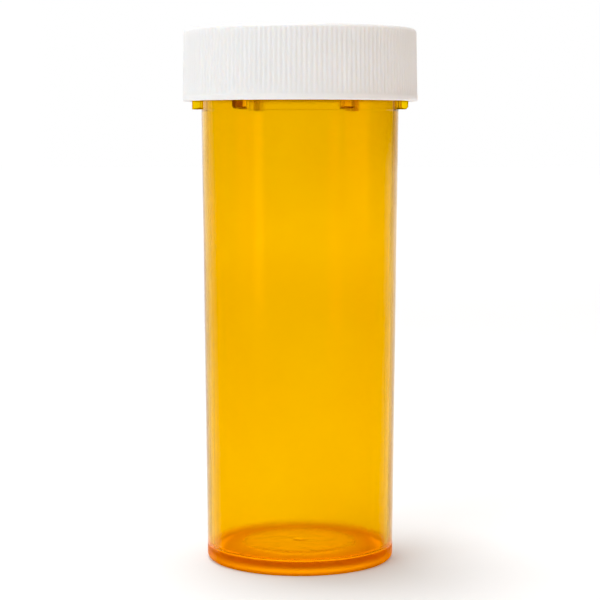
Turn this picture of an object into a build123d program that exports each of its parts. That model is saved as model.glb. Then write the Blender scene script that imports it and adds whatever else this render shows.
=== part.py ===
"""A 30-dram push-and-turn prescription vial: a tapered translucent vial with six bayonet lugs,
a ribbed cap with six hooks under its skirt, and a sprung liner held inside the cap.

The frame has its origin at the centre of the foot, +Z up the axis, and -Y as the front.
The closure sits on the rim at the open angle, with its hooks midway between the lugs.
Lengths are in millimetres and angles in degrees, anticlockwise as seen from above.
"""

from build123d import *

import math
import os

# Vial: outer wall
FOOT_EDGE_RADIUS = 1.1
BASE_RADIUS = 19.2
NECK_RADIUS = 20.15
NECK_START = 92.65
PARTING_STEP = 0.06
RIM_HEIGHT = 104.4
RIM_CHAMFER = 0.35

# Vial: inside
WALL = 1.2
MOUTH_RADIUS = NECK_RADIUS - WALL
MOUTH_DEPTH = 6.0
FLOOR_EDGE_HEIGHT = 2.7
FLOOR_CENTRE_HEIGHT = 3.7
FLOOR_CORNER_RADIUS = 1.2

# Vial: underside
FOOT_RING_WIDTH = 2.0
RECESS_EDGE_HEIGHT = 1.3
RECESS_CENTRE_HEIGHT = 2.3
STEP_RADIUS = 11.0
STEP_HEIGHT = 0.35
GATE_RADIUS = 1.2
GATE_HEIGHT = 0.5

# Bayonet: lugs on the vial, hooks on the cap
LUG_COUNT = 6
LUG_PITCH = 360 / LUG_COUNT
LUG_RADIUS = 22.1
STOP_CENTRE_ANGLE = -64.0
STOP_WIDTH = 2.4
STOP_BOTTOM = NECK_START
NOTCH_WIDTH = 3.2
NOTCH_ROOF = 96.8
SHOULDER_WIDTH = 1.0
SHOULDER_BOTTOM = 95.6
RAMP_WIDTH = 0.8
RAMP_HEIGHT = 1.3
BAR_TOP = 98.6
LUG_CHAMFER = 0.25
EASED_LUG_CHAMFER = 0.45
HOOK_WIDTH = 2.8
HOOK_HEIGHT = 1.8
HOOK_INNER_RADIUS = 20.6
HOOK_CLEARANCE = 0.1
HOOK_CHAMFER = 0.3

# Cap
CAP_BOTTOM = 94.3
CAP_TOP = 108.9
BEAD_RADIUS = 24.0
BEAD_HEIGHT = 1.3
BEAD_ROUND = 0.25
SKIRT_RADIUS_BOTTOM = 23.92
SKIRT_RADIUS_TOP = 23.68
CAP_CORNER_RADIUS = 0.95
CAP_BORE_RADIUS = 22.45
PANEL_UNDERSIDE = 107.6
CAP_INNER_CORNER = 0.8
TOP_RECESS_RADIUS = 20.8
TOP_RECESS_DEPTH = 0.4
RIB_COUNT = 150
RIB_DEPTH = 0.16

# Turning arrows raised on the cap's top
ARROW_COUNT = 3
ARROW_RADIUS = 15.0
ARROW_WIDTH = 1.6
ARROW_SWEEP = 62.0
ARROW_HEAD_LENGTH = 4.2
ARROW_HEAD_WIDTH = 5.0
ARROW_HEAD_OVERLAP = 0.5
ARROW_HEIGHT = 0.25

# Catches inside the cap that hold the liner
CATCH_INNER_RADIUS = 21.2
CATCH_SWEEP = 24.0
CATCH_HEIGHT = 1.1
CATCH_GAP = 0.1

# Liner
FLANGE_RADIUS = 21.8
FLANGE_THICKNESS = 0.8
PLUG_CLEARANCE = 0.05
PLUG_WALL = 0.9
PLUG_DEPTH = 3.6
PLUG_LEAD_IN = 0.5
DOME_BASE_RADIUS = 17.2
DOME_TOP_RADIUS = 5.0
DOME_WALL = 0.6
DOME_CLEARANCE = 0.05

# How far a lug, hook or catch runs into the wall it stands on
ROOT_DEPTH = 0.6


def polar(radius, angle):
    """A point on a circle about the axis."""
    turn = math.radians(angle)
    return radius * math.cos(turn), radius * math.sin(turn)


def lathe(outline):
    """The solid that a closed outline of (radius, height) points or edges makes about the axis."""
    return revolve(make_face(Plane.XZ * outline), Axis.Z)


def disc(radius, low, high):
    """An upright cylinder between two heights."""
    return Pos(0, 0, low) * extrude(Circle(radius), high - low)


def ring_sector(inner, outer, centre_angle, sweep, low, high):
    """A block between two radii, over an arc about the axis."""
    start = centre_angle - sweep / 2
    outside = CenterArc((0, 0), outer, start, sweep)
    inside = CenterArc((0, 0), inner, start, sweep)
    face = make_face([outside, inside, Line(outside @ 0, inside @ 0), Line(outside @ 1, inside @ 1)])
    return Pos(0, 0, low) * extrude(face, high - low)


def radial_block(outline, angle, inner, outer):
    """A prism with parallel sides that points outward at an angle, trimmed to a round outside.

    The outline is in (distance anticlockwise, height), and the prism runs from inner to outer.
    """
    sideways = (*polar(1, angle + 90), 0)
    outward = (*polar(1, angle), 0)
    facing = Plane(origin=(*polar(inner, angle), 0), x_dir=sideways, z_dir=outward)
    prism = extrude(facing * make_face(Polyline(*outline, close=True)), outer - inner)
    return prism & disc(outer, 0, CAP_TOP)


def outward_round(low, high):
    """A quarter circle that turns from a level edge at its low end up to a wall at its high end."""
    radius = high[0] - low[0]
    reach = radius * math.sqrt(0.5)
    return ThreePointArc(low, (low[0] + reach, high[1] - reach), high)


def chain(points):
    """Straight edges from each point to the next."""
    return [Line(here, there) for here, there in zip(points, points[1:])]


def vial_shell():
    """The tapered wall and the domed floor, without lugs."""
    foot_outer = BASE_RADIUS - FOOT_EDGE_RADIUS
    foot_inner = foot_outer - FOOT_RING_WIDTH
    bore_foot = BASE_RADIUS - WALL
    gate_root = RECESS_CENTRE_HEIGHT + STEP_HEIGHT
    underside = [
        (0, gate_root - GATE_HEIGHT),
        (GATE_RADIUS / 2, gate_root - GATE_HEIGHT),
        (GATE_RADIUS, gate_root),
        (STEP_RADIUS, RECESS_CENTRE_HEIGHT),
        (STEP_RADIUS + STEP_HEIGHT, RECESS_CENTRE_HEIGHT - STEP_HEIGHT),
        (foot_inner, RECESS_EDGE_HEIGHT),
        (foot_inner, 0),
        (foot_outer, 0),
    ]
    wall = [
        (BASE_RADIUS, FOOT_EDGE_RADIUS),
        (NECK_RADIUS - PARTING_STEP, NECK_START),
        (NECK_RADIUS, NECK_START),
        (NECK_RADIUS, RIM_HEIGHT - RIM_CHAMFER),
        (NECK_RADIUS - RIM_CHAMFER, RIM_HEIGHT),
        (MOUTH_RADIUS, RIM_HEIGHT),
        (MOUTH_RADIUS, RIM_HEIGHT - MOUTH_DEPTH),
        (bore_foot, FLOOR_EDGE_HEIGHT + FLOOR_CORNER_RADIUS),
    ]
    floor = [
        (bore_foot - FLOOR_CORNER_RADIUS, FLOOR_EDGE_HEIGHT),
        (STEP_RADIUS, FLOOR_CENTRE_HEIGHT - STEP_HEIGHT),
        (0, FLOOR_CENTRE_HEIGHT),
        (0, gate_root - GATE_HEIGHT),
    ]
    edges = chain(underside) + chain(wall) + chain(floor)
    edges.append(outward_round(underside[-1], wall[0]))
    edges.append(outward_round(floor[0], wall[-1]))
    return lathe(Curve() + edges)


def lug(angle, eased):
    """One bayonet lug: a stop that shows below the cap, a locking notch, and a shoulder with a ramp.

    An eased lug has a chamfer along the foot of its stop's outer face.
    """
    notch_start = STOP_WIDTH / 2
    shoulder_start = notch_start + NOTCH_WIDTH
    ramp_start = shoulder_start + SHOULDER_WIDTH
    bar_end = ramp_start + RAMP_WIDTH
    outline = [
        (-notch_start, BAR_TOP),
        (-notch_start, STOP_BOTTOM + LUG_CHAMFER),
        (-notch_start + LUG_CHAMFER, STOP_BOTTOM),
        (notch_start - LUG_CHAMFER, STOP_BOTTOM),
        (notch_start, STOP_BOTTOM + LUG_CHAMFER),
        (notch_start, NOTCH_ROOF),
        (shoulder_start, NOTCH_ROOF),
        (shoulder_start, SHOULDER_BOTTOM),
        (ramp_start, SHOULDER_BOTTOM),
        (bar_end, SHOULDER_BOTTOM + RAMP_HEIGHT),
        (bar_end, BAR_TOP),
    ]
    block = radial_block(outline, angle, NECK_RADIUS - ROOT_DEPTH, LUG_RADIUS)
    if eased:
        block -= stop_chamfer()
    return block


def stop_chamfer():
    """The ring that an eased lug loses from the foot of its outer face."""
    outline = [
        (LUG_RADIUS - EASED_LUG_CHAMFER, STOP_BOTTOM),
        (LUG_RADIUS, STOP_BOTTOM),
        (LUG_RADIUS, STOP_BOTTOM + EASED_LUG_CHAMFER),
    ]
    return lathe(Polyline(*outline, close=True))


def vial():
    """The one-piece vial. Every other lug is eased."""
    body = vial_shell()
    for place in range(LUG_COUNT):
        body += lug(STOP_CENTRE_ANGLE + place * LUG_PITCH, place % 2 == 1)
    return body


def open_hook_angle():
    """The angle midway between two lugs, where the hooks stand when the cap is free to lift."""
    lug_start = STOP_CENTRE_ANGLE - math.degrees(STOP_WIDTH / 2 / LUG_RADIUS)
    lug_length = STOP_WIDTH + NOTCH_WIDTH + SHOULDER_WIDTH + RAMP_WIDTH
    lug_end = lug_start + math.degrees(lug_length / LUG_RADIUS)
    return (lug_start + lug_end + LUG_PITCH) / 2


def ribbed_section(radius, height):
    """The skirt's outline at one height: a crest and a valley for each rib."""
    step = 360 / RIB_COUNT
    points = []
    for rib in range(RIB_COUNT):
        points.append(polar(radius, rib * step))
        points.append(polar(radius - RIB_DEPTH, (rib + 0.5) * step))
    return Pos(0, 0, height) * make_face(Polyline(*points, close=True))


def cap_envelope():
    """A solid that rounds the cap's top corner."""
    reach = CAP_CORNER_RADIUS * math.sqrt(0.5)
    centre = (SKIRT_RADIUS_TOP - CAP_CORNER_RADIUS, CAP_TOP - CAP_CORNER_RADIUS)
    wall_top = (SKIRT_RADIUS_TOP, centre[1])
    top_edge = (centre[0], CAP_TOP)
    edges = chain([top_edge, (0, CAP_TOP), (0, CAP_BOTTOM), (SKIRT_RADIUS_BOTTOM, CAP_BOTTOM), wall_top])
    edges.append(ThreePointArc(wall_top, (centre[0] + reach, centre[1] + reach), top_edge))
    return lathe(Curve() + edges)


def cap_bead():
    """The plain band round the foot of the skirt."""
    top = CAP_BOTTOM + BEAD_HEIGHT
    outline = [
        (CAP_BORE_RADIUS, CAP_BOTTOM),
        (BEAD_RADIUS - BEAD_ROUND, CAP_BOTTOM),
        (BEAD_RADIUS, CAP_BOTTOM + BEAD_ROUND),
        (BEAD_RADIUS, top - BEAD_ROUND),
        (BEAD_RADIUS - BEAD_ROUND, top),
        (CAP_BORE_RADIUS, top),
    ]
    return lathe(Polyline(*outline, close=True))


def cap_cavity():
    """The space inside the cap."""
    outline = [
        (0, CAP_BOTTOM),
        (CAP_BORE_RADIUS, CAP_BOTTOM),
        (CAP_BORE_RADIUS, PANEL_UNDERSIDE - CAP_INNER_CORNER),
        (CAP_BORE_RADIUS - CAP_INNER_CORNER, PANEL_UNDERSIDE),
        (0, PANEL_UNDERSIDE),
    ]
    return lathe(Polyline(*outline, close=True))


def hook(angle):
    """One hook at the foot of the skirt, chamfered where it meets the ramp of a lug."""
    half = HOOK_WIDTH / 2
    high = NOTCH_ROOF - HOOK_CLEARANCE
    low = high - HOOK_HEIGHT
    outline = [
        (-half, low),
        (half, low),
        (half, high - HOOK_CHAMFER),
        (half - HOOK_CHAMFER, high),
        (-half + HOOK_CHAMFER, high),
        (-half, high - HOOK_CHAMFER),
    ]
    return radial_block(outline, angle, HOOK_INNER_RADIUS, CAP_BORE_RADIUS + ROOT_DEPTH)


def catch(angle):
    """One catch that holds the liner's flange up inside the cap."""
    high = RIM_HEIGHT - CATCH_GAP
    outer = CAP_BORE_RADIUS + ROOT_DEPTH
    return ring_sector(CATCH_INNER_RADIUS, outer, angle, CATCH_SWEEP, high - CATCH_HEIGHT, high)


def turning_arrow(angle):
    """One curved arrow raised on the recessed top, which points the way the cap closes."""
    floor = CAP_TOP - TOP_RECESS_DEPTH
    shaft = ring_sector(
        ARROW_RADIUS - ARROW_WIDTH / 2,
        ARROW_RADIUS + ARROW_WIDTH / 2,
        angle,
        ARROW_SWEEP,
        floor - ARROW_HEIGHT,
        floor + ARROW_HEIGHT,
    )
    neck = angle - ARROW_SWEEP / 2
    tip = neck - math.degrees(ARROW_HEAD_LENGTH / ARROW_RADIUS)
    head_base = neck + ARROW_HEAD_OVERLAP
    head = Polyline(
        polar(ARROW_RADIUS - ARROW_HEAD_WIDTH / 2, head_base),
        polar(ARROW_RADIUS + ARROW_HEAD_WIDTH / 2, head_base),
        polar(ARROW_RADIUS, tip),
        close=True,
    )
    return shaft + Pos(0, 0, floor - ARROW_HEIGHT) * extrude(make_face(head), 2 * ARROW_HEIGHT)


def cap():
    """The one-piece cap."""
    bead_top = CAP_BOTTOM + BEAD_HEIGHT
    skirt_foot = ribbed_section(SKIRT_RADIUS_BOTTOM, bead_top - BEAD_ROUND)
    skirt_head = ribbed_section(SKIRT_RADIUS_TOP, CAP_TOP)
    ribs = loft([skirt_foot, skirt_head], ruled=True)
    shell = (ribs & cap_envelope()) + cap_bead() - cap_cavity()
    shell -= disc(TOP_RECESS_RADIUS, CAP_TOP - TOP_RECESS_DEPTH, CAP_TOP)
    for place in range(LUG_COUNT):
        shell += hook(open_hook_angle() + place * LUG_PITCH)
        shell += catch(open_hook_angle() + (place + 0.5) * LUG_PITCH)
    for place in range(ARROW_COUNT):
        shell += turning_arrow(place * 360 / ARROW_COUNT)
    return shell


def liner():
    """The seal that hangs in the cap: a flange on the rim, a plug in the mouth and a springy dome."""
    flange_top = RIM_HEIGHT + FLANGE_THICKNESS
    plug_foot = RIM_HEIGHT - PLUG_DEPTH
    plug_outer = MOUTH_RADIUS - PLUG_CLEARANCE
    plug_inner = plug_outer - PLUG_WALL
    dome_top = PANEL_UNDERSIDE - DOME_CLEARANCE
    outline = [
        (0, dome_top),
        (DOME_TOP_RADIUS, dome_top),
        (DOME_BASE_RADIUS, flange_top),
        (FLANGE_RADIUS, flange_top),
        (FLANGE_RADIUS, RIM_HEIGHT),
        (plug_outer, RIM_HEIGHT),
        (plug_outer, plug_foot + PLUG_LEAD_IN),
        (plug_outer - PLUG_LEAD_IN, plug_foot),
        (plug_inner, plug_foot),
        (plug_inner, flange_top - 2 * DOME_WALL),
        (DOME_BASE_RADIUS, flange_top - DOME_WALL),
        (DOME_TOP_RADIUS, dome_top - DOME_WALL),
        (0, dome_top - DOME_WALL),
    ]
    return lathe(Polyline(*outline, close=True))


def main():
    """Writes each node's solid to its STEP file."""
    os.makedirs("parts", exist_ok=True)
    for name, make in {"vial": vial, "cap": cap, "liner": liner}.items():
        shape = make()
        print(name, "solids", len(shape.solids()), "volume", round(shape.volume, 1))
        export_step(shape, f"parts/{name}.step")


main()
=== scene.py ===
"""The looks of a 30-dram push-and-turn prescription vial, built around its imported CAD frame.

The mesh code works in millimetres, and MM turns its results into the frame's metres.
Angles are in degrees, anticlockwise as seen from above, with the front at -90.
"""

import math

import bmesh
import bpy
import numpy as np
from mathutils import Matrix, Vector


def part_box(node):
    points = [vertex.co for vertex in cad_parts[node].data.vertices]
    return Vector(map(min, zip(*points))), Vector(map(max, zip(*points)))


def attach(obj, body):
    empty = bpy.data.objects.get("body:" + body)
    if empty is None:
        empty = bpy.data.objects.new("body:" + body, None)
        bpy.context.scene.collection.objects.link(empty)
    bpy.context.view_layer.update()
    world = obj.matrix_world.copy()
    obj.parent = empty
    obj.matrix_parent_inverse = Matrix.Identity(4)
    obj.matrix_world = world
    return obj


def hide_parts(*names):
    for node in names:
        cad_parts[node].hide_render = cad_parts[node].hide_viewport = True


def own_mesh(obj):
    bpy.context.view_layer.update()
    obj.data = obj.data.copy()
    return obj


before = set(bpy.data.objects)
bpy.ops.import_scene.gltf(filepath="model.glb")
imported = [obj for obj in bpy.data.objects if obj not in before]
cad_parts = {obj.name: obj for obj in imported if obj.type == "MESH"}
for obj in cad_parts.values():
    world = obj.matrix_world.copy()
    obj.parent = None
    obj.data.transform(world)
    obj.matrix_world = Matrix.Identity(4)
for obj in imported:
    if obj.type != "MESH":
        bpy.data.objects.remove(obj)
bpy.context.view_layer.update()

MM = 0.001


def cad_extent(node):
    """The outer radius, lowest height and highest height of a CAD node, in mm."""
    low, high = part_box(node)
    return max(high.x, high.y) / MM, low.z / MM, high.z / MM


LUG_RADIUS, FOOT_HEIGHT, RIM_HEIGHT = cad_extent("vial")
BEAD_RADIUS, CAP_BOTTOM, CAP_TOP = cad_extent("cap")
FLANGE_RADIUS, PLUG_FOOT, DOME_TOP = cad_extent("liner")

# Vial
BASE_RADIUS = 19.2
NECK_RADIUS = 20.15
WALL = 1.2
MOUTH_RADIUS = NECK_RADIUS - WALL
MOUTH_DEPTH = 6.0
RIM_ROUND = 0.35
FOOT_EDGE_RADIUS = 1.1
FOOT_RING_WIDTH = 2.0
FLOOR_CORNER_RADIUS = 1.2
FLOOR_EDGE_HEIGHT = 2.7
FLOOR_CENTRE_HEIGHT = 3.7
RECESS_EDGE_HEIGHT = 1.3
RECESS_CENTRE_HEIGHT = 2.3
STEP_RADIUS = 11.0
STEP_HEIGHT = 0.35
GATE_RADIUS = 1.2
GATE_HEIGHT = 0.5
PARTING_STEP = 0.03
PARTING_BLEND = 0.5
FOOT_INNER_ROUND = 0.3
STEP_OFFSET = 0.1
STEP_ROUND = 0.15
RECESS_ROUND = 0.5
MOUTH_ROUND = 0.2
VIAL_EDGE_ROUND = 0.14

# The gate mark's outline, as shares of its radius and height
GATE_SHAPE = ((0, 1), (0.5, 1), (0.7, 0.8), (1, 0))
# Places on the underside: out from the gate or the step ring, or in from the foot ring, and up
GATE_SURROUND = (0.4, 0.02)
RECESS_INSIDE_STEP = ((-1.4, 0.03), (-0.3, 0))
RECESS_OUTSIDE_STEP = (1.2, -0.5)
RECESS_EDGE_LEAD = 0.8
# Places on the floor: in from its corner, or out from the step ring or the axis, and up
FLOOR_EDGE_LEAD = (-0.6, 0.03)
FLOOR_OUTSIDE_STEP = (0.5, -0.42)
FLOOR_INSIDE_STEP = (0, -0.33)
FLOOR_MIDDLE = (1.6, -0.01)

# Bayonet
LUG_COUNT = 6
LUG_PITCH = 360 / LUG_COUNT
STOP_CENTRE_ANGLE = -64.0
STOP_WIDTH = 2.4
NOTCH_WIDTH = 3.2
SHOULDER_WIDTH = 1.0
RAMP_WIDTH = 0.8
STOP_BOTTOM = 92.65
SHOULDER_BOTTOM = 95.6
NOTCH_ROOF = 96.8
BAR_TOP = 98.6
EASED_LUG_CHAMFER = 0.45
HOOK_WIDTH = 2.8
HOOK_HEIGHT = 1.8
HOOK_INNER_RADIUS = 20.6
HOOK_CLEARANCE = 0.1
HOOK_EDGE_ROUND = 0.2

# Columns across a lug's stop, notch, shoulder and ramp, and across the gap to the next lug
LUG_COLUMNS = (5, 7, 2, 2)
GAP_COLUMNS = 32
# How far from a lug's edge the neck has one more row, which keeps its shading flat
EDGE_SUPPORT = 0.3

# Cap
BEAD_HEIGHT = 1.3
SKIRT_RADIUS_BOTTOM = 23.92
SKIRT_RADIUS_TOP = 23.68
SKIRT_END_GAP = 0.6
CAP_CORNER_RADIUS = 0.95
CAP_BORE_RADIUS = 22.45
CAP_INNER_CORNER = 0.8
BORE_EDGE_ROUND = 0.2
BEAD_ROUND = 0.35
BORE_HEAD_GAP = 3.0
PANEL_UNDERSIDE = 107.6
PANEL_ROW_RADIUS = 8.0
TOP_RECESS_RADIUS = 20.8
TOP_RECESS_DEPTH = 0.4
TOP_RECESS_ROUND = 0.15
# Two places just below the bead's top edge, as (radius, height) from that edge
BEAD_SHOULDER = ((0, -0.3), (-0.03, -0.1))
SKIRT_START_GAP = 0.1
# The recess's floor and the mark in its middle, as (radius, height above that floor)
CAP_GATE_MARK = ((18.0, 0), (9.0, 0), (1.1, 0), (1.0, 0.1), (0.6, 0.12), (0, 0.12))
RIB_COUNT = 150
RIB_DEPTH = 0.16
RIB_COLUMNS = 10
RIB_FOOT_FADE = 0.25
RIB_HEAD_GAP = 0.25
RIB_HEAD_FADE = 0.9
RIB_SHARPNESS = 1.3
RIB_LEAST_WALL = 0.6
ARROW_COUNT = 3
ARROW_RADIUS = 15.0
ARROW_WIDTH = 1.6
ARROW_SWEEP = 62.0
ARROW_HEAD_LENGTH = 4.2
ARROW_HEAD_WIDTH = 5.0
ARROW_HEIGHT = 0.22
ARROW_ROOT = 0.1
ARROW_POINTS = 40
ARROW_EDGE_ROUND = 0.07
CATCH_INNER_RADIUS = 21.2
CATCH_SWEEP = 24.0
CATCH_HEIGHT = 1.1
CATCH_GAP = 0.1
CATCH_EDGE_ROUND = 0.25
# The widest angle between the points of a hook's or catch's curved sides
SECTOR_STEP = 1.5
# How far a hook or catch runs into the skirt
ROOT_DEPTH = 0.4

# Liner
FLANGE_THICKNESS = 0.8
PLUG_RADIUS = MOUTH_RADIUS - 0.05
PLUG_WALL = 0.9
DOME_BASE_RADIUS = 17.2
DOME_FLAT_RADIUS = 5.0
DOME_WALL = 0.6
DOME_FOLDS = 3
DOME_FOLD_HEIGHT = 0.12
DOME_FULLNESS = 1.2
PLUG_LEAD_IN = 0.45
PLUG_BAND = 1.4
PLUG_INNER_ROUND = 0.2
PLUG_TOP_ROUND = 0.15
FLANGE_ROUND = 0.25
HINGE_WIDTH = 0.3
LINER_COLUMNS = 240
DOME_COLUMNS = 180
DOME_ROWS = 30

# Amber plastic
AMBER_TONES = ((0.97, 0.785, 0.10), (0.96, 0.76, 0.08))
AMBER_ROUGHNESS = (0.08, 0.14)
AMBER_IOR = 1.47
AMBER_SPECULAR_TINT = (0.9, 0.45, 0.02, 1)
AMBER_ABSORPTION_COLOUR = (0.998, 0.895, 0.0, 1)
AMBER_ABSORPTION_DENSITY = 900.0
FOOT_FROSTING = 0.38
# Painted shade: the foot's base colour turns to this darker orange below this height, for the light lost
# in its thick plastic
FOOT_PAINTED_SHADE_TONE = (0.86, 0.46, 0.04)
FOOT_PAINTED_SHADE_TOP = 4.5

# White plastic
WHITE_TONES = ((0.83, 0.83, 0.83), (0.80, 0.80, 0.795))
WHITE_ROUGHNESS = (0.42, 0.58)
WHITE_IOR = 1.49
WHITE_SOFTNESS = 0.6
WHITE_LIGHT_REACH = (1.0, 0.85, 0.7)
WHITE_LIGHT_DEPTH = 0.0012

# Natural plastic
NATURAL_TONES = ((0.86, 0.86, 0.80), (0.81, 0.82, 0.76))
NATURAL_ROUGHNESS = (0.28, 0.4)
NATURAL_IOR = 1.51
NATURAL_SOFTNESS = 0.6
NATURAL_LIGHT_REACH = (1.0, 0.95, 0.8)
NATURAL_LIGHT_DEPTH = 0.002

# Floor, with its reaches in metres
FLOOR_RADIUS = 4.0
FLOOR_SIDES = 64
FLOOR_TONES = ((0.90, 0.90, 0.90), (0.88, 0.88, 0.88))
FLOOR_ROUGHNESS = 0.9
FLOOR_SPECULAR = 0.2
FLOOR_GLOW_START = 0.3
FLOOR_GLOW_END = 1.3

# Light: strengths, and the parts of a direction's length where they change
BACK_FROM = 0.3
FLANK_SPAN = (0.3, 0.8)
OVERHEAD_SPAN = (0.15, 0.7)
WARM_WHITE = (1.0, 0.62, 0.42)
FRONT_LIGHT = 0.95
BACK_LIGHT = 1.18
LEFT_SHARE = 1.08
RIGHT_SHARE = 0.5
FLANK_SHARE = 0.6
OVERHEAD_SHARE = 0.55
NEAR_FLOOR_GLOW = 0.09
FAR_FLOOR_GLOW = 0.52
UNDER_FOOT_GLOW = 1.05
SEEN_FLOOR_LIFT = 0.06
DEEPEST_TONE = (0.0, 0.015, 0.045)

# Camera
CAMERA_DISTANCE = 0.3858
CAMERA_HEIGHT = 0.0887
CAMERA_PITCH = 5.208
CAMERA_LENS = 112.67
CAMERA_SENSOR_WIDTH = 36.0


def polar(radius, angle):
    """A point on a circle about the axis."""
    turn = math.radians(angle)
    return radius * math.cos(turn), radius * math.sin(turn)


def arc(centre, radius, start, end, steps):
    """Points (radius, height) along an arc between two angles, both ends included."""
    turns = np.radians(np.linspace(start, end, steps + 1))
    return [(centre[0] + radius * math.cos(t), centre[1] + radius * math.sin(t)) for t in turns]


def straight(start, end, steps):
    """Points from one to another, both ends included."""
    return [tuple(p) for p in np.linspace(start, end, steps + 1)]


def turned(profile, angles, shape=None):
    """Points and faces of a body turned from a profile of (radius, height).

    The profile begins and ends on the axis, with the body on its left. shape changes each point's radius.
    """
    rings = profile[1:-1]
    turn = np.radians(np.asarray(angles))[None, :].repeat(len(rings), 0)
    radius = np.array([p[0] for p in rings])[:, None].repeat(len(angles), 1)
    height = np.array([p[1] for p in rings])[:, None].repeat(len(angles), 1)
    if shape:
        radius = shape(radius, height, turn)
    points = np.stack([radius * np.cos(turn), radius * np.sin(turn), height], -1).reshape(-1, 3)
    points = np.vstack([points, [0, 0, profile[0][1]], [0, 0, profile[-1][1]]])
    count = len(angles)
    first_pole, last_pole = len(points) - 2, len(points) - 1
    last_ring = (len(rings) - 1) * count
    faces = []
    for row in range(len(rings) - 1):
        low, high = row * count, (row + 1) * count
        for here in range(count):
            there = (here + 1) % count
            faces.append((low + here, low + there, high + there, high + here))
    for here in range(count):
        there = (here + 1) % count
        faces.append((first_pole, there, here))
        faces.append((last_ring + here, last_ring + there, last_pole))
    return points, faces


def turned_ring(profile, angles):
    """Points and faces of a ring turned from a closed profile, which runs with the body on its left."""
    count, rows = len(angles), len(profile)
    turn = np.radians(np.asarray(angles))
    points = [(r * math.cos(t), r * math.sin(t), z) for r, z in profile for t in turn]
    faces = []
    for row in range(rows):
        low, high = row * count, (row + 1) % rows * count
        for here in range(count):
            there = (here + 1) % count
            faces.append((low + here, low + there, high + there, high + here))
    return np.array(points), faces


def prism(outline, low, high):
    """Points and faces of an upright prism over an outline of (x, y) that runs anticlockwise."""
    count = len(outline)
    points = [(x, y, low) for x, y in outline] + [(x, y, high) for x, y in outline]
    faces = [tuple(reversed(range(count))), tuple(range(count, 2 * count))]
    for here in range(count):
        there = (here + 1) % count
        faces.append((here, there, count + there, count + here))
    return np.array(points), faces


def mesh_object(name, points, faces, sharp_angle=35.0):
    """A smooth-shaded object, from points in mm, with its sharper edges kept crisp."""
    mesh = bpy.data.meshes.new(name)
    mesh.from_pydata((np.asarray(points) * MM).tolist(), [], faces)
    mesh.validate()
    mesh.shade_smooth()
    mesh.set_sharp_from_angle(angle=math.radians(sharp_angle))
    piece = bpy.data.objects.new(name, mesh)
    bpy.context.scene.collection.objects.link(piece)
    return piece


def soften_edges(piece, width, segments=2, angle=40.0):
    """Rounds the piece's sharp edges by a width in mm, in its mesh."""
    bevel = piece.modifiers.new("edges", "BEVEL")
    bevel.width = width * MM
    bevel.segments = segments
    bevel.limit_method = "ANGLE"
    bevel.angle_limit = math.radians(angle)
    weighted = piece.modifiers.new("shading", "WEIGHTED_NORMAL")
    weighted.weight = 100
    apply_modifiers(piece)


def apply_modifiers(piece):
    """Puts what the modifiers make into the piece's own mesh."""
    graph = bpy.context.evaluated_depsgraph_get()
    finished = bpy.data.meshes.new_from_object(piece.evaluated_get(graph))
    piece.modifiers.clear()
    piece.data = finished


def join(pieces):
    """Joins several objects into the first."""
    bm = bmesh.new()
    for piece in pieces:
        bm.from_mesh(piece.data)
    bm.to_mesh(pieces[0].data)
    bm.free()
    for piece in pieces[1:]:
        bpy.data.objects.remove(piece)
    return pieces[0]


def finish_piece(piece, body, material):
    """Gives a piece its material and ties it to its CAD body."""
    piece.data.materials.clear()
    piece.data.materials.append(material)
    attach(piece, body)
    return piece


# Vial


def lug_offsets():
    """Where a lug's stop, notch, shoulder and ramp begin and end, as angles from the stop's centre."""
    edge = -STOP_WIDTH / 2
    offsets = [edge]
    for width in (STOP_WIDTH, NOTCH_WIDTH, SHOULDER_WIDTH, RAMP_WIDTH):
        edge += width
        offsets.append(edge)
    return [math.degrees(x / LUG_RADIUS) for x in offsets]


def vial_angles():
    """The angles of the vial's columns, with one at each edge of each lug."""
    offsets = lug_offsets()
    angles = []
    for place in range(LUG_COUNT):
        centre = STOP_CENTRE_ANGLE + place * LUG_PITCH
        for start, end, columns in zip(offsets, offsets[1:], LUG_COLUMNS):
            angles += list(centre + np.linspace(start, end, columns + 1)[:-1])
        gap_start, gap_end = centre + offsets[-1], centre + LUG_PITCH + offsets[0]
        angles += list(np.linspace(gap_start, gap_end, GAP_COLUMNS + 1)[:-1])
    return angles


def underside_profile():
    """The gate mark, the recess with its step ring, and the foot ring, from the axis out."""
    foot_outer = BASE_RADIUS - FOOT_EDGE_RADIUS
    foot_inner = foot_outer - FOOT_RING_WIDTH
    gate_root = RECESS_CENTRE_HEIGHT + STEP_HEIGHT
    step_wall = STEP_RADIUS + STEP_OFFSET
    step_foot = RECESS_CENTRE_HEIGHT - STEP_HEIGHT
    inside_step = [(STEP_RADIUS + out, RECESS_CENTRE_HEIGHT + up) for out, up in RECESS_INSIDE_STEP]
    outside_step = (STEP_RADIUS + RECESS_OUTSIDE_STEP[0], RECESS_CENTRE_HEIGHT + RECESS_OUTSIDE_STEP[1])
    profile = [(GATE_RADIUS * out, gate_root - GATE_HEIGHT * down) for out, down in GATE_SHAPE]
    profile += [(GATE_RADIUS + GATE_SURROUND[0], gate_root + GATE_SURROUND[1])]
    profile += straight(*inside_step, 2)
    profile += arc((step_wall - STEP_ROUND, RECESS_CENTRE_HEIGHT - STEP_ROUND), STEP_ROUND, 90, 0, 3)
    profile += arc((step_wall + STEP_ROUND, step_foot + STEP_ROUND), STEP_ROUND, 180, 270, 3)
    profile += straight(outside_step, (foot_inner - RECESS_EDGE_LEAD, RECESS_EDGE_HEIGHT), 4)
    profile += arc((foot_inner - RECESS_ROUND, RECESS_EDGE_HEIGHT - RECESS_ROUND), RECESS_ROUND, 90, 0, 4)
    profile += arc((foot_inner + FOOT_INNER_ROUND, FOOT_INNER_ROUND), FOOT_INNER_ROUND, 180, 270, 4)
    profile += arc((foot_outer, FOOT_EDGE_RADIUS), FOOT_EDGE_RADIUS, 270, 360, 8)
    return profile


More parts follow.
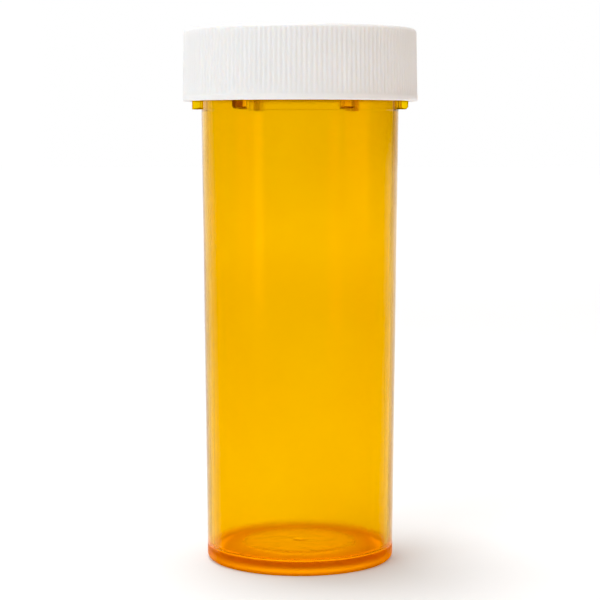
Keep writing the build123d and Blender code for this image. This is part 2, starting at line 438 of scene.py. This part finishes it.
def wall_profile():
    """The tapered outer wall, from above the foot's edge to the parting step, which is blended."""
    top = (NECK_RADIUS - PARTING_STEP, STOP_BOTTOM - PARTING_BLEND)
    profile = straight((BASE_RADIUS, FOOT_EDGE_RADIUS), top, 20)[1:]
    for share in (0.25, 0.5, 0.75):
        step = PARTING_STEP * (1 - math.cos(share * math.pi)) / 2
        profile.append((top[0] + step, top[1] + share * PARTING_BLEND))
    return profile


def inside_profile():
    """The rim, the bore and the domed floor, from the neck's outside in to the axis."""
    bore_foot = BASE_RADIUS - WALL
    corner = (bore_foot - FLOOR_CORNER_RADIUS, FLOOR_EDGE_HEIGHT + FLOOR_CORNER_RADIUS)
    edge = (corner[0] + FLOOR_EDGE_LEAD[0], FLOOR_EDGE_HEIGHT + FLOOR_EDGE_LEAD[1])
    outside_step = (STEP_RADIUS + FLOOR_OUTSIDE_STEP[0], FLOOR_CENTRE_HEIGHT + FLOOR_OUTSIDE_STEP[1])
    inside_step = (STEP_RADIUS + FLOOR_INSIDE_STEP[0], FLOOR_CENTRE_HEIGHT + FLOOR_INSIDE_STEP[1])
    middle = (FLOOR_MIDDLE[0], FLOOR_CENTRE_HEIGHT + FLOOR_MIDDLE[1])
    profile = arc((NECK_RADIUS - RIM_ROUND, RIM_HEIGHT - RIM_ROUND), RIM_ROUND, 0, 90, 4)
    profile += arc((MOUTH_RADIUS + MOUTH_ROUND, RIM_HEIGHT - MOUTH_ROUND), MOUTH_ROUND, 90, 180, 3)
    profile += straight((MOUTH_RADIUS, RIM_HEIGHT - MOUTH_DEPTH), (bore_foot, corner[1]), 20)
    profile += arc(corner, FLOOR_CORNER_RADIUS, 0, -90, 8)[1:]
    profile += straight(edge, outside_step, 4)
    profile += straight(inside_step, middle, 6)
    profile += [(0, FLOOR_CENTRE_HEIGHT)]
    return profile


def vial_profile():
    """The vial's section, and the row where each height that matters to the lugs begins."""
    below_neck = underside_profile() + wall_profile()
    neck_heights = [STOP_BOTTOM, STOP_BOTTOM + EASED_LUG_CHAMFER, SHOULDER_BOTTOM - EDGE_SUPPORT]
    neck_heights += [SHOULDER_BOTTOM, NOTCH_ROOF, BAR_TOP, BAR_TOP + EDGE_SUPPORT]
    neck = [(NECK_RADIUS, height) for height in neck_heights]
    rows = {height: len(below_neck) + i - 1 for i, height in enumerate(neck_heights)}
    return below_neck + neck + inside_profile(), rows


def raise_lugs(bm, cols, rows):
    """Pulls the lugs out of the neck: the stop and the shoulder reach below the bar that joins them.

    Every other lug is eased: the foot of its stop's outer face is chamfered.
    """
    bm.faces.ensure_lookup_table()
    per_lug = cols // LUG_COUNT
    stop_end = LUG_COLUMNS[0]
    shoulder_start = stop_end + LUG_COLUMNS[1]
    lug_end = sum(LUG_COLUMNS)
    bands = [
        (0, lug_end, NOTCH_ROOF, BAR_TOP),
        (0, stop_end, STOP_BOTTOM, NOTCH_ROOF),
        (shoulder_start, lug_end, SHOULDER_BOTTOM, NOTCH_ROOF),
    ]
    regions = []
    for place in range(LUG_COUNT):
        cells = []
        for start, end, low, high in bands:
            for row in range(rows[low], rows[high]):
                cells += [bm.faces[row * cols + place * per_lug + col] for col in range(start, end)]
        regions.append(cells)
    for place, cells in enumerate(regions):
        eased = place % 2 == 1
        made = bmesh.ops.extrude_face_region(bm, geom=cells)["geom"]
        for vert in (v for v in made if isinstance(v, bmesh.types.BMVert)):
            at_foot = vert.co.z < (STOP_BOTTOM + EASED_LUG_CHAMFER / 2) * MM
            radius = LUG_RADIUS - (EASED_LUG_CHAMFER if eased and at_foot else 0)
            flat = Vector((vert.co.x, vert.co.y))
            flat *= radius * MM / flat.length
            vert.co.x, vert.co.y = flat


def make_vial(material):
    """The one-piece vial."""
    profile, rows = vial_profile()
    angles = vial_angles()
    piece = mesh_object("vial_amber", *turned(profile, angles))
    bm = bmesh.new()
    bm.from_mesh(piece.data)
    raise_lugs(bm, len(angles), rows)
    bmesh.ops.recalc_face_normals(bm, faces=bm.faces)
    bm.to_mesh(piece.data)
    bm.free()
    for face in piece.data.polygons:
        face.use_smooth = True
    soften_edges(piece, VIAL_EDGE_ROUND, angle=50)
    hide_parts("vial")
    return finish_piece(piece, "vial", material)


# Cap


def cap_profile():
    """The cap's section, from the panel's underside out and round to its top."""
    bead_top = CAP_BOTTOM + BEAD_HEIGHT
    inner_corner = (CAP_BORE_RADIUS - CAP_INNER_CORNER, PANEL_UNDERSIDE - CAP_INNER_CORNER)
    corner = (SKIRT_RADIUS_TOP - CAP_CORNER_RADIUS, CAP_TOP - CAP_CORNER_RADIUS)
    floor = CAP_TOP - TOP_RECESS_DEPTH
    skirt_foot = (SKIRT_RADIUS_BOTTOM, bead_top + SKIRT_START_GAP)
    skirt_head = (SKIRT_RADIUS_TOP, corner[1] - SKIRT_END_GAP)
    bore_head = (CAP_BORE_RADIUS, PANEL_UNDERSIDE - BORE_HEAD_GAP)
    bore_foot = (CAP_BORE_RADIUS, CAP_BOTTOM + 2 * BORE_EDGE_ROUND)
    bore_edge = (CAP_BORE_RADIUS + BORE_EDGE_ROUND, CAP_BOTTOM + BORE_EDGE_ROUND)
    rounding = TOP_RECESS_ROUND
    profile = [(0, PANEL_UNDERSIDE), (PANEL_ROW_RADIUS, PANEL_UNDERSIDE)]
    profile += arc(inner_corner, CAP_INNER_CORNER, 90, 0, 5)
    profile += straight(bore_head, bore_foot, 2)
    profile += arc(bore_edge, BORE_EDGE_ROUND, 180, 270, 3)
    profile += arc((BEAD_RADIUS - BEAD_ROUND, CAP_BOTTOM + BEAD_ROUND), BEAD_ROUND, 270, 360, 4)
    profile += [(BEAD_RADIUS + out, bead_top + up) for out, up in BEAD_SHOULDER]
    profile += straight(skirt_foot, skirt_head, 8)
    profile += arc(corner, CAP_CORNER_RADIUS, 0, 90, 9)[1:]
    profile += arc((TOP_RECESS_RADIUS + rounding, CAP_TOP - rounding), rounding, 90, 180, 3)
    profile += arc((TOP_RECESS_RADIUS - rounding, floor + rounding), rounding, 0, -90, 3)
    profile += [(radius, floor + up) for radius, up in CAP_GATE_MARK]
    return profile


def ribbed(radius, height, turn):
    """Cuts narrow rounded grooves into the skirt, which fade out over the cap's top corner."""
    bead_top = CAP_BOTTOM + BEAD_HEIGHT
    outside = radius > CAP_BORE_RADIUS + RIB_LEAST_WALL
    foot = np.clip((height - bead_top) / RIB_FOOT_FADE, 0, 1)
    head = np.clip((CAP_TOP - RIB_HEAD_GAP - height) / RIB_HEAD_FADE, 0, 1)
    groove = (0.5 + 0.5 * np.cos(RIB_COUNT * turn)) ** RIB_SHARPNESS
    return radius - RIB_DEPTH * groove * foot * head * outside


def sector(inner, outer, angle, sweep, low, high):
    """Points and faces of a block between two radii, over an arc about the axis."""
    steps = max(4, round(sweep / SECTOR_STEP))
    turns = np.linspace(angle - sweep / 2, angle + sweep / 2, steps + 1)
    outline = [polar(outer, t) for t in turns] + [polar(inner, t) for t in reversed(turns)]
    return prism(outline, low, high)


def arrow_outline(angle):
    """The outline of one curved arrow, which points clockwise."""
    neck = angle - ARROW_SWEEP / 2
    tip = neck - math.degrees(ARROW_HEAD_LENGTH / ARROW_RADIUS)
    turns = np.linspace(neck, angle + ARROW_SWEEP / 2, ARROW_POINTS)
    inner, outer = ARROW_RADIUS - ARROW_WIDTH / 2, ARROW_RADIUS + ARROW_WIDTH / 2
    head = [
        polar(ARROW_RADIUS - ARROW_HEAD_WIDTH / 2, neck),
        polar(ARROW_RADIUS, tip),
        polar(ARROW_RADIUS + ARROW_HEAD_WIDTH / 2, neck),
    ]
    return [polar(outer, t) for t in turns] + [polar(inner, t) for t in reversed(turns)] + head


def open_hook_angle():
    """The angle midway between two lugs, where a hook stands at rest."""
    offsets = lug_offsets()
    return STOP_CENTRE_ANGLE + (offsets[0] + offsets[-1] + LUG_PITCH) / 2


def make_cap(material):
    """The one-piece cap: ribbed skirt, bead, recessed top, hooks and catches."""
    angles = np.arange(RIB_COUNT * RIB_COLUMNS) * 360 / (RIB_COUNT * RIB_COLUMNS)
    parts = [mesh_object("cap_white", *turned(cap_profile(), angles, ribbed))]
    outer = CAP_BORE_RADIUS + ROOT_DEPTH
    hook_top = NOTCH_ROOF - HOOK_CLEARANCE
    hook_sweep = math.degrees(HOOK_WIDTH / HOOK_INNER_RADIUS)
    catch_top = RIM_HEIGHT - CATCH_GAP
    catch_foot = catch_top - CATCH_HEIGHT
    for place in range(LUG_COUNT):
        angle = open_hook_angle() + place * LUG_PITCH
        hook = sector(HOOK_INNER_RADIUS, outer, angle, hook_sweep, hook_top - HOOK_HEIGHT, hook_top)
        parts.append(mesh_object("hook", *hook))
        soften_edges(parts[-1], HOOK_EDGE_ROUND)
        middle = angle + LUG_PITCH / 2
        catch = sector(CATCH_INNER_RADIUS, outer, middle, CATCH_SWEEP, catch_foot, catch_top)
        parts.append(mesh_object("catch", *catch))
        soften_edges(parts[-1], CATCH_EDGE_ROUND)
    piece = join(parts)
    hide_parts("cap")
    return finish_piece(piece, "cap", material)


def make_arrows(material):
    """The turning arrows, raised on the cap's recessed top."""
    floor = CAP_TOP - TOP_RECESS_DEPTH
    arrows = []
    for place in range(ARROW_COUNT):
        outline = arrow_outline(place * 360 / ARROW_COUNT)
        arrows.append(mesh_object("cap_arrows", *prism(outline, floor - ARROW_ROOT, floor + ARROW_HEIGHT)))
        soften_edges(arrows[-1], ARROW_EDGE_ROUND)
    return finish_piece(join(arrows), "cap", material)


# Liner


def make_liner_seal(material):
    """The flange that seals on the rim and the plug that fills the mouth."""
    top = RIM_HEIGHT + FLANGE_THICKNESS
    inner = PLUG_RADIUS - PLUG_WALL
    flange_edge = FLANGE_RADIUS - FLANGE_ROUND
    profile = arc((PLUG_RADIUS - PLUG_LEAD_IN, PLUG_FOOT + PLUG_LEAD_IN), PLUG_LEAD_IN, 270, 360, 5)
    profile += [(PLUG_RADIUS, PLUG_FOOT + PLUG_BAND), (PLUG_RADIUS, RIM_HEIGHT - PLUG_TOP_ROUND)]
    profile += [(PLUG_RADIUS + PLUG_TOP_ROUND, RIM_HEIGHT)]
    profile += arc((flange_edge, RIM_HEIGHT + FLANGE_ROUND), FLANGE_ROUND, 270, 360, 3)
    profile += arc((flange_edge, top - FLANGE_ROUND), FLANGE_ROUND, 0, 90, 3)
    profile += [(DOME_BASE_RADIUS, top), (DOME_BASE_RADIUS - HINGE_WIDTH, top - DOME_WALL)]
    profile += [(inner - HINGE_WIDTH, top - 1.6 * DOME_WALL), (inner, top - 2.4 * DOME_WALL)]
    profile += [(inner, PLUG_FOOT + PLUG_INNER_ROUND), (inner + PLUG_INNER_ROUND, PLUG_FOOT)]
    angles = np.linspace(0, 360, LINER_COLUMNS + 1)[:-1]
    piece = mesh_object("liner_seal", *turned_ring(profile, angles))
    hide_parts("liner")
    return finish_piece(piece, "liner", material)


def make_liner_dome(material):
    """The springy dome, with its concentric folds, that flattens when the cap is pressed."""
    base = RIM_HEIGHT + FLANGE_THICKNESS
    rise = DOME_TOP - base
    radii = np.linspace(DOME_BASE_RADIUS, DOME_FLAT_RADIUS, DOME_ROWS)
    share = (DOME_BASE_RADIUS - radii) / (DOME_BASE_RADIUS - DOME_FLAT_RADIUS)
    ripple = DOME_FOLD_HEIGHT * np.sin(share * math.tau * DOME_FOLDS) * np.sin(share * math.pi)
    heights = base + rise * np.sin(share * math.pi / 2) ** DOME_FULLNESS + ripple
    over = list(zip(radii, np.minimum(heights, DOME_TOP)))
    under = [(r, z - DOME_WALL) for r, z in reversed(over)]
    profile = [(0, DOME_TOP - DOME_WALL)] + under + over + [(1.0, DOME_TOP), (0, DOME_TOP)]
    angles = np.linspace(0, 360, DOME_COLUMNS + 1)[:-1]
    piece = mesh_object("liner_dome", *turned(profile, angles))
    finish_piece(piece, "liner", material)
    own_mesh(piece)
    return piece


# Materials


def new_material(name):
    """A material's node tree, with its Principled shader and its output."""
    material = bpy.data.materials.new(name)
    material.use_nodes = True
    nodes = material.node_tree.nodes
    return material, material.node_tree, nodes["Principled BSDF"], nodes["Material Output"]


def noise(tree, scale, detail=3.0, roughness=0.5, stretch=(1, 1, 1)):
    """A noise pattern in the object's own space, with scale in features per metre."""
    coordinates = tree.nodes.new("ShaderNodeTexCoord")
    mapping = tree.nodes.new("ShaderNodeMapping")
    mapping.inputs["Scale"].default_value = stretch
    texture = tree.nodes.new("ShaderNodeTexNoise")
    texture.inputs["Scale"].default_value = scale
    texture.inputs["Detail"].default_value = detail
    texture.inputs["Roughness"].default_value = roughness
    tree.links.new(coordinates.outputs["Object"], mapping.inputs["Vector"])
    tree.links.new(mapping.outputs["Vector"], texture.inputs["Vector"])
    return texture.outputs["Fac"]


def ranged(tree, value, low, high):
    """Maps a noise value on to a range."""
    node = tree.nodes.new("ShaderNodeMapRange")
    node.inputs["From Min"].default_value = 0.3
    node.inputs["From Max"].default_value = 0.7
    node.inputs["To Min"].default_value = low
    node.inputs["To Max"].default_value = high
    tree.links.new(value, node.inputs["Value"])
    return node.outputs["Result"]


def graded(tree, value, start, end, low, high):
    """A value that runs smoothly from low to high as another goes from start to end."""
    node = tree.nodes.new("ShaderNodeMapRange")
    node.interpolation_type = "SMOOTHSTEP"
    node.inputs["From Min"].default_value = start
    node.inputs["From Max"].default_value = end
    node.inputs["To Min"].default_value = low
    node.inputs["To Max"].default_value = high
    tree.links.new(value, node.inputs["Value"])
    return node.outputs["Result"]


def combined(tree, operation, first, second):
    """Two values put together by a maths operation. The second may be a plain number."""
    node = tree.nodes.new("ShaderNodeMath")
    node.operation = operation
    tree.links.new(first, node.inputs[0])
    if isinstance(second, float):
        node.inputs[1].default_value = second
    else:
        tree.links.new(second, node.inputs[1])
    return node.outputs["Value"]


def two_tones(tree, value, first, second):
    """A colour that drifts between two tones with a noise value."""
    node = tree.nodes.new("ShaderNodeMix")
    node.data_type = "RGBA"
    node.inputs["A"].default_value = (*first, 1)
    node.inputs["B"].default_value = (*second, 1)
    tree.links.new(ranged(tree, value, 0, 1), node.inputs["Factor"])
    return node.outputs["Result"]


def mixed(tree, share, colour, other):
    """A colour turned towards another, plain one by a share."""
    node = tree.nodes.new("ShaderNodeMix")
    node.data_type = "RGBA"
    node.inputs["B"].default_value = (*other, 1)
    tree.links.new(share, node.inputs["Factor"])
    tree.links.new(colour, node.inputs["A"])
    return node.outputs["Result"]


def bump(tree, value, distance, strength=1.0, normal=None):
    """A bump of some depth in metres, on top of another."""
    node = tree.nodes.new("ShaderNodeBump")
    node.inputs["Distance"].default_value = distance
    node.inputs["Strength"].default_value = strength
    tree.links.new(value, node.inputs["Height"])
    if normal:
        tree.links.new(normal, node.inputs["Normal"])
    return node.outputs["Normal"]


def amber_plastic():
    """Clear amber polypropylene: glossy, with faint flow lines and a frosted foot, whose base colour is
    turned to a darker orange as painted shade.
    """
    material, tree, shader, output = new_material("amber_polypropylene")
    tone = two_tones(tree, noise(tree, scale=60), *AMBER_TONES)
    coordinates = tree.nodes.new("ShaderNodeTexCoord")
    split = tree.nodes.new("ShaderNodeSeparateXYZ")
    tree.links.new(coordinates.outputs["Object"], split.inputs["Vector"])
    height = split.outputs["Z"]
    # Painted shade: towards the bottom the base colour turns darker orange, for the light lost in the
    # thick foot
    painted_foot_shade = graded(tree, height, RECESS_EDGE_HEIGHT * MM, FOOT_PAINTED_SHADE_TOP * MM, 1.0, 0.0)
    tree.links.new(mixed(tree, painted_foot_shade, tone, FOOT_PAINTED_SHADE_TONE), shader.inputs["Base Color"])
    frosting = graded(
        tree, height, FLOOR_EDGE_HEIGHT * MM, FLOOR_CENTRE_HEIGHT * MM, FOOT_FROSTING, 0.0
    )
    clouding = noise(tree, scale=300, detail=4)
    roughness = combined(tree, "ADD", frosting, ranged(tree, clouding, *AMBER_ROUGHNESS))
    tree.links.new(roughness, shader.inputs["Roughness"])
    shader.inputs["IOR"].default_value = AMBER_IOR
    shader.inputs["Transmission Weight"].default_value = 1.0
    shader.inputs["Specular Tint"].default_value = AMBER_SPECULAR_TINT
    flow_lines = noise(tree, scale=260, detail=2, roughness=0.4, stretch=(1, 1, 0.05))
    flow = bump(tree, flow_lines, distance=0.00012)
    grain = bump(tree, noise(tree, scale=2500, detail=2), distance=0.000004, normal=flow)
    tree.links.new(grain, shader.inputs["Normal"])
    absorption = tree.nodes.new("ShaderNodeVolumeAbsorption")
    absorption.inputs["Color"].default_value = AMBER_ABSORPTION_COLOUR
    absorption.inputs["Density"].default_value = AMBER_ABSORPTION_DENSITY
    tree.links.new(absorption.outputs["Volume"], output.inputs["Volume"])
    return material


def white_plastic(name, softness):
    """Matte white polypropylene with a fine moulded grain. softness is how much light enters it."""
    material, tree, shader, _ = new_material(name)
    tone = two_tones(tree, noise(tree, scale=45, detail=4), *WHITE_TONES)
    tree.links.new(tone, shader.inputs["Base Color"])
    roughness = ranged(tree, noise(tree, scale=700, detail=4), *WHITE_ROUGHNESS)
    tree.links.new(roughness, shader.inputs["Roughness"])
    shader.inputs["IOR"].default_value = WHITE_IOR
    shader.inputs["Subsurface Weight"].default_value = softness
    shader.inputs["Subsurface Radius"].default_value = WHITE_LIGHT_REACH
    shader.inputs["Subsurface Scale"].default_value = WHITE_LIGHT_DEPTH
    grain = bump(tree, noise(tree, scale=4000, detail=3), distance=0.000006)
    tree.links.new(grain, shader.inputs["Normal"])
    return material


def natural_plastic():
    """Waxy natural polyethylene, milky and slightly see-through."""
    material, tree, shader, _ = new_material("natural_polyethylene")
    tone = two_tones(tree, noise(tree, scale=90, detail=3), *NATURAL_TONES)
    tree.links.new(tone, shader.inputs["Base Color"])
    roughness = ranged(tree, noise(tree, scale=500, detail=3), *NATURAL_ROUGHNESS)
    tree.links.new(roughness, shader.inputs["Roughness"])
    shader.inputs["IOR"].default_value = NATURAL_IOR
    shader.inputs["Subsurface Weight"].default_value = NATURAL_SOFTNESS
    shader.inputs["Subsurface Radius"].default_value = NATURAL_LIGHT_REACH
    shader.inputs["Subsurface Scale"].default_value = NATURAL_LIGHT_DEPTH
    grain = bump(tree, noise(tree, scale=1500, detail=2), distance=0.00001)
    tree.links.new(grain, shader.inputs["Normal"])
    return material


def floor_material():
    """A plain pale floor that glows a little: under the foot, and far off, where the backdrop begins."""
    material, tree, shader, _ = new_material("pale_floor")
    tone = two_tones(tree, noise(tree, scale=6, detail=3), *FLOOR_TONES)
    tree.links.new(tone, shader.inputs["Base Color"])
    shader.inputs["Roughness"].default_value = FLOOR_ROUGHNESS
    shader.inputs["Specular IOR Level"].default_value = FLOOR_SPECULAR
    coordinates = tree.nodes.new("ShaderNodeTexCoord")
    distance = tree.nodes.new("ShaderNodeVectorMath")
    distance.operation = "LENGTH"
    tree.links.new(coordinates.outputs["Object"], distance.inputs[0])
    away = distance.outputs["Value"]
    far = graded(tree, away, FLOOR_GLOW_START, FLOOR_GLOW_END, NEAR_FLOOR_GLOW, FAR_FLOOR_GLOW)
    foot_outer = BASE_RADIUS - FOOT_EDGE_RADIUS
    foot_inner = foot_outer - FOOT_RING_WIDTH
    under = graded(tree, away, foot_inner * MM, foot_outer * MM, UNDER_FOOT_GLOW, 0.0)
    path = tree.nodes.new("ShaderNodeLightPath")
    seen = combined(tree, "MULTIPLY", path.outputs["Is Camera Ray"], SEEN_FLOOR_LIFT)
    glow = combined(tree, "ADD", combined(tree, "ADD", far, under), seen)
    shader.inputs["Emission Color"].default_value = (1, 1, 1, 1)
    tree.links.new(glow, shader.inputs["Emission Strength"])
    return material


# Studio


def make_floor():
    """A wide round floor under the foot."""
    turns = np.linspace(0, 360, FLOOR_SIDES + 1)[:-1]
    outline = [(*polar(FLOOR_RADIUS / MM, turn), FOOT_HEIGHT) for turn in turns]
    floor = mesh_object("floor", outline, [tuple(range(FLOOR_SIDES))])
    floor.data.materials.append(floor_material())


def make_world():
    """Soft light from all round: full behind, dimmer overhead and in front, brighter from the left.

    The camera itself sees it as no darker than white.
    """
    world = bpy.data.worlds.new("studio")
    bpy.context.scene.world = world
    world.use_nodes = True
    tree = world.node_tree
    background = tree.nodes["Background"]
    background.inputs["Color"].default_value = (1, 1, 1, 1)
    coordinates = tree.nodes.new("ShaderNodeTexCoord")
    split = tree.nodes.new("ShaderNodeSeparateXYZ")
    tree.links.new(coordinates.outputs["Generated"], split.inputs["Vector"])
    sideways = combined(tree, "ABSOLUTE", split.outputs["X"], 0.0)
    depth = graded(tree, split.outputs["Y"], -1.0, BACK_FROM, FRONT_LIGHT, BACK_LIGHT)
    side = graded(tree, split.outputs["X"], -1.0, 1.0, LEFT_SHARE, RIGHT_SHARE)
    flank = graded(tree, sideways, *FLANK_SPAN, 1.0, FLANK_SHARE)
    overhead = graded(tree, split.outputs["Z"], *OVERHEAD_SPAN, 1.0, OVERHEAD_SHARE)
    strength = combined(tree, "MULTIPLY", combined(tree, "MULTIPLY", depth, side), overhead)
    strength = combined(tree, "MULTIPLY", strength, flank)
    path = tree.nodes.new("ShaderNodeLightPath")
    seen = combined(tree, "MAXIMUM", strength, path.outputs["Is Camera Ray"])
    tree.links.new(seen, background.inputs["Strength"])


def softbox(name, place, width, height, power, colour=(1, 1, 1)):
    """A rectangular area light that faces the middle of the vial."""
    target = Vector((0, 0, CAP_TOP * MM / 2))
    light = bpy.data.lights.new(name, "AREA")
    light.shape = "RECTANGLE"
    light.size = width
    light.size_y = height
    light.energy = power
    light.color = colour
    lamp = bpy.data.objects.new(name, light)
    lamp.location = place
    lamp.rotation_euler = (target - Vector(place)).to_track_quat("-Z", "Y").to_euler()
    bpy.context.scene.collection.objects.link(lamp)


def make_lights():
    """A soft key overhead, two fills in front, and a low strip that puts a streak on the wall."""
    softbox("key", place=(-0.10, 0.12, 1.1), width=0.4, height=0.4, power=6.1)
    softbox("front", place=(-0.55, -0.7, 0.7), width=0.6, height=0.6, power=2.6)
    softbox("fill", place=(0.9, -0.3, 0.3), width=0.6, height=0.6, power=1.5, colour=WARM_WHITE)
    softbox("strip", place=(-0.295, -0.27, 0.085), width=0.10, height=0.15, power=0.07)


def make_camera():
    """The camera, level across, in front of the vial and a little above its middle."""
    data = bpy.data.cameras.new("camera")
    data.lens = CAMERA_LENS
    data.sensor_width = CAMERA_SENSOR_WIDTH
    camera = bpy.data.objects.new("camera", data)
    camera.location = (0, -CAMERA_DISTANCE, CAMERA_HEIGHT)
    camera.rotation_euler = (math.radians(90 - CAMERA_PITCH), 0, 0)
    bpy.context.scene.collection.objects.link(camera)
    bpy.context.scene.camera = camera


def set_rendering():
    """Plain colours with deep shadows, and enough bounces for light to pass through both walls."""
    scene = bpy.context.scene
    scene.view_settings.view_transform = "Standard"
    scene.view_settings.use_curve_mapping = True
    scene.view_settings.curve_mapping.black_level = DEEPEST_TONE
    scene.view_settings.curve_mapping.update()
    scene.cycles.max_bounces = 24
    scene.cycles.transmission_bounces = 20
    scene.cycles.glossy_bounces = 8
    scene.cycles.diffuse_bounces = 6


make_vial(amber_plastic())
make_cap(white_plastic("white_polypropylene", WHITE_SOFTNESS))
make_arrows(white_plastic("white_polypropylene_thin", 0.0))
natural = natural_plastic()
make_liner_seal(natural)
make_liner_dome(natural)
make_floor()
make_world()
make_lights()
make_camera()
set_rendering()
